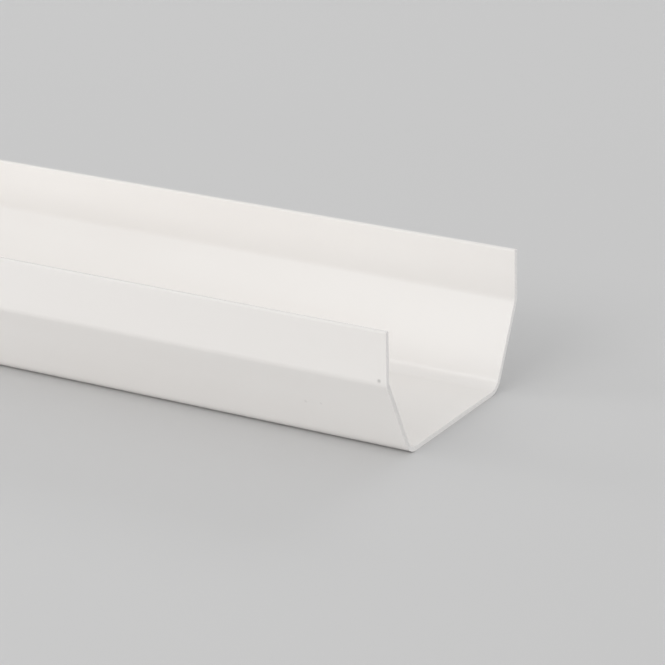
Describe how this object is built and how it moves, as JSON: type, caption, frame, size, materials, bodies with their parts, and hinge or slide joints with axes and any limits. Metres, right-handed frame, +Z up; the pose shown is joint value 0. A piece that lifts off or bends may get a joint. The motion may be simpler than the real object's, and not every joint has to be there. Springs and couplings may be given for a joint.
{
  "type": "gutter section",
  "caption": "Open-topped rainwater gutter length with upright rim walls, leaning lower walls, rounded corners and a flat base, cut square at both ends. It carries roof water along the eaves.",
  "frame": {"origin": "middle of the flat underside", "axes": "+X along the gutter, +Y across it, +Z up out of the open top"},
  "size_m": [2, 0.114, 0.0605],
  "materials": {
    "white_pvc": "satin-gloss extruded PVC-U, warm white, with plain sawn ends"
  },
  "bodies": {
    "root": {"gutter_section": "white_pvc"}
  },
  "joints": []
}
